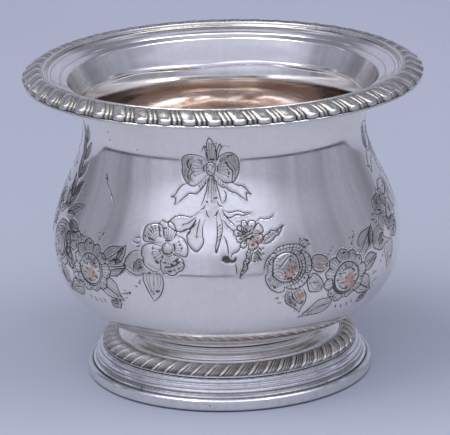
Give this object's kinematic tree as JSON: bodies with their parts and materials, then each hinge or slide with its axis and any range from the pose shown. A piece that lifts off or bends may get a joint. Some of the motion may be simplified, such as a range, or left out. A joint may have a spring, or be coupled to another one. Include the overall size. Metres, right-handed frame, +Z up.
{
  "type": "waste bowl",
  "caption": "Bellied metal table bowl with a wide turned-out rim and a low round foot, both edged with leaning lobed borders.",
  "frame": {"origin": "centre of the ring that the bowl stands on", "axes": "+Z up along the bowl's axis; the side with the engraved bow faces -Y"},
  "size_m": [0.1458, 0.1458, 0.116],
  "materials": {
    "silver_plate": "polished",
    "plated_white_metal": "gloss",
    "soft_solder": "satin"
  },
  "bodies": {
    "root": {"bowl_body": "silver_plate", "rim_border": "plated_white_metal", "rim_solder": "soft_solder", "foot_shell": "silver_plate", "foot_border": "plated_white_metal", "joint_solder": "soft_solder", "base_wire": "silver_plate", "base_solder": "soft_solder"}
  },
  "joints": []
}
